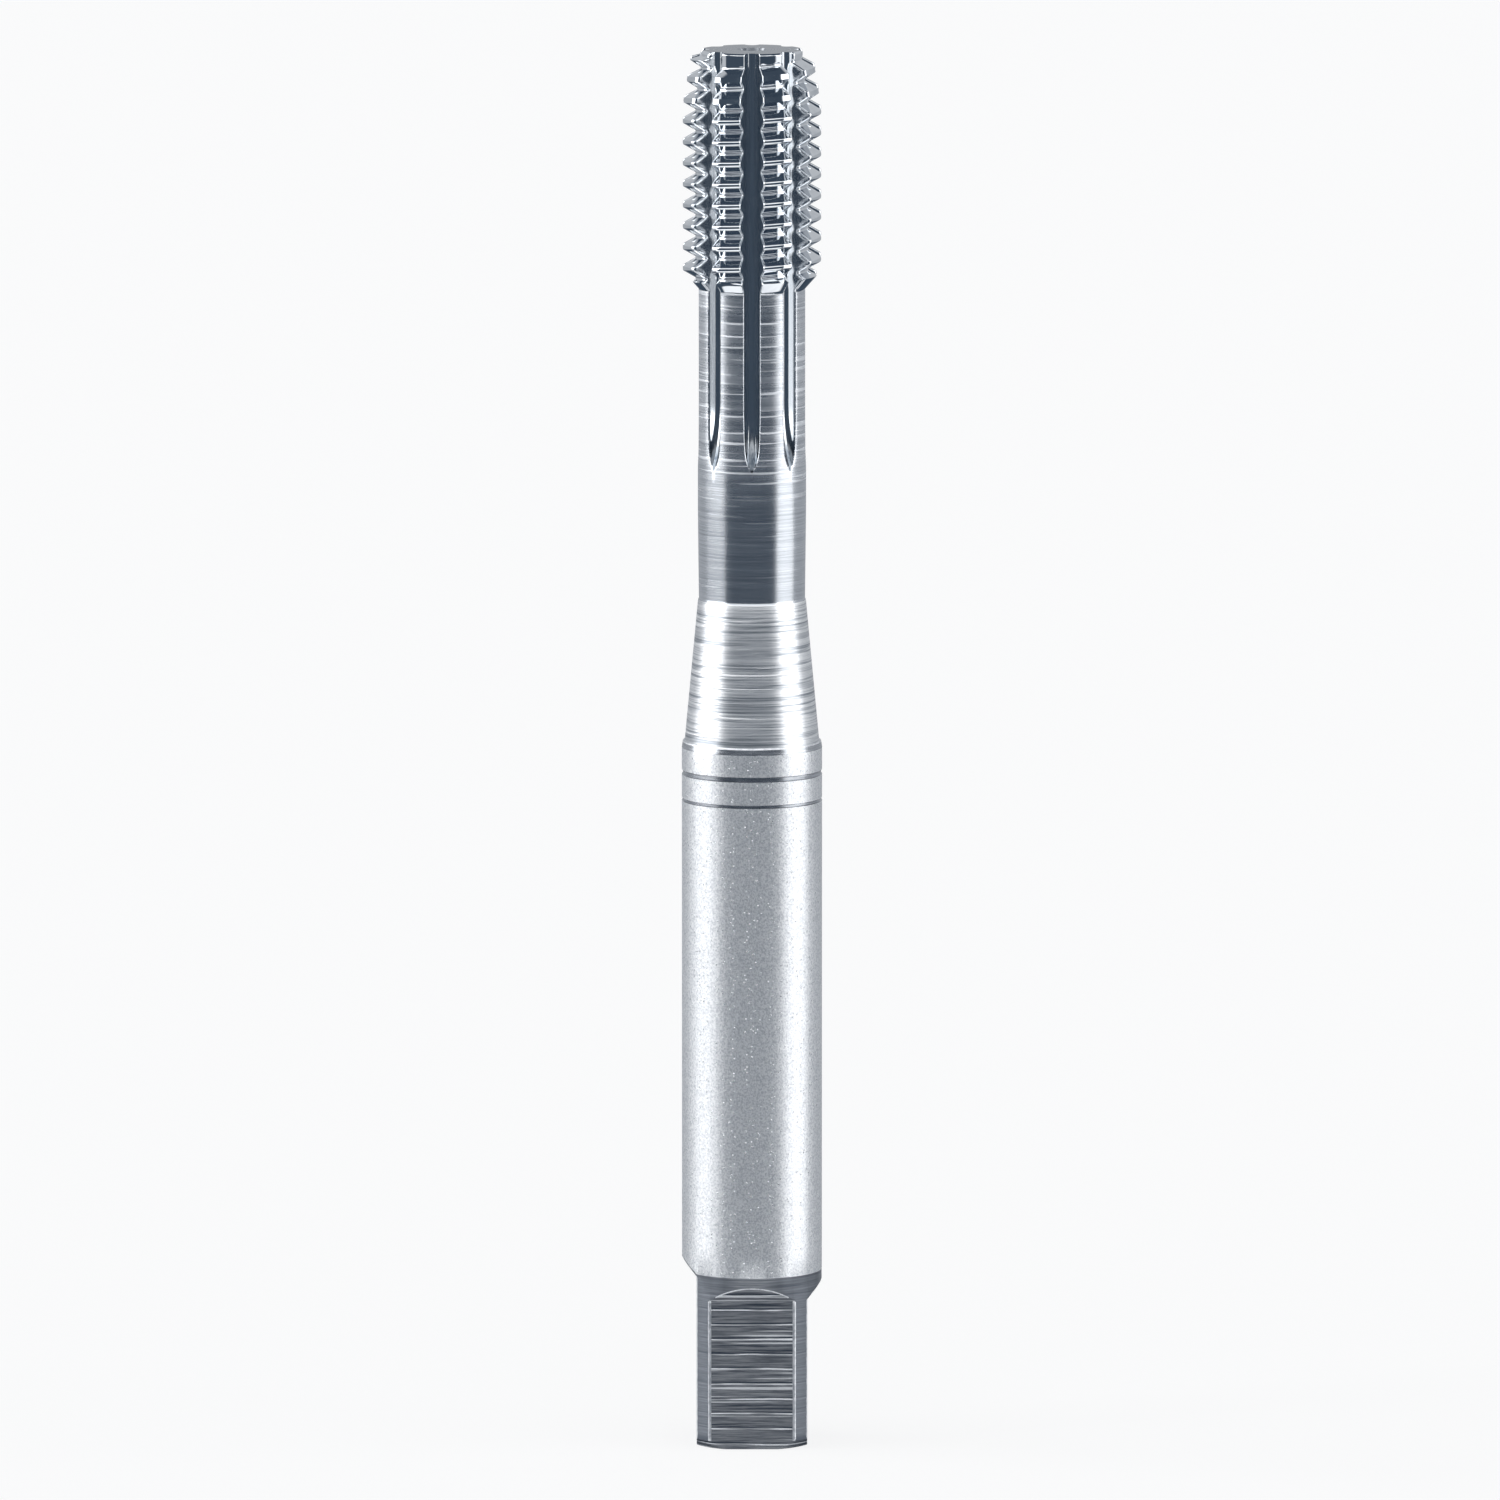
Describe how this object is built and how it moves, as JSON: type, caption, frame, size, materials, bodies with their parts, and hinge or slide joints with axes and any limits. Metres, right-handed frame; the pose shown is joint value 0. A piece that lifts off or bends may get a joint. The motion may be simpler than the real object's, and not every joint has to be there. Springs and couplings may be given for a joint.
{
  "type": "thread forming tap",
  "caption": "Thread forming tap for a coarse M10 thread: oil-grooved forming thread, slim neck, round shank and a square driving end.",
  "frame": {"origin": "centre of the flat end of the driving square", "axes": "+Z along the tool's axis towards the threaded end; the front flat of the square faces -Y"},
  "size_m": [0.01, 0.01, 0.1],
  "materials": {
    "ground_steel": "polished forming thread, finely ground neck, satin shank and ground square"
  },
  "bodies": {
    "root": {"forming_tap": "ground_steel"}
  },
  "joints": []
}
